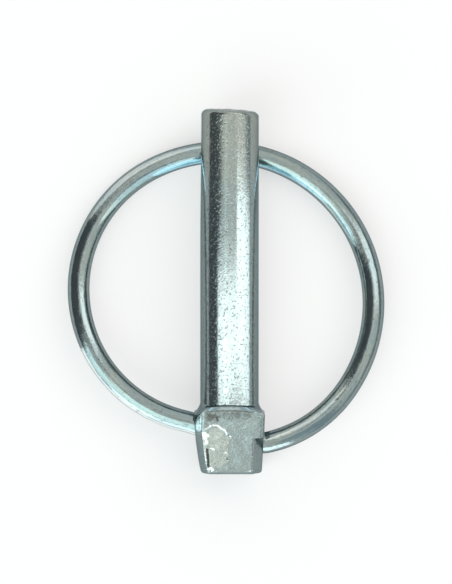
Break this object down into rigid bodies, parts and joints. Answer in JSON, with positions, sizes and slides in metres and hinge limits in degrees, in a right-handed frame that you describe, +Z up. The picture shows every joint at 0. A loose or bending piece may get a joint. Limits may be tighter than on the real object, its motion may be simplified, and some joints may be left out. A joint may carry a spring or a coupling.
{
  "type": "lynch pin",
  "caption": "Round locking pin with a forged square head and a hinged spring-wire ring that closes against the shank.",
  "frame": {"origin": "middle of the lying part seen from above, on the surface that it lies on", "axes": "+Y towards the tip of the pin, +Z up, +X to the right with the head nearest the viewer; the shank rises 3.4 degrees towards its tip because it lies on the ring"},
  "size_m": [0.0436, 0.0505, 0.0113],
  "materials": {
    "plated_forging": "bright zinc plating over a forged surface, mottled, flaked on the head",
    "plated_wire": "bright zinc plating over drawn spring wire, smooth and glossy"
  },
  "bodies": {
    "pin_body": {"pin": "plated_forging"},
    "ring_body": {"ring": "plated_wire"}
  },
  "joints": [
    {"name": "ring_swing", "type": "hinge", "parent": "pin_body", "child": "ring_body", "pos_m": [0.00049, -0.01942, 0.00478], "axis": [-0.9633, 0.2674, -0.0226], "range_deg": [0, 342.8]}
  ]
}
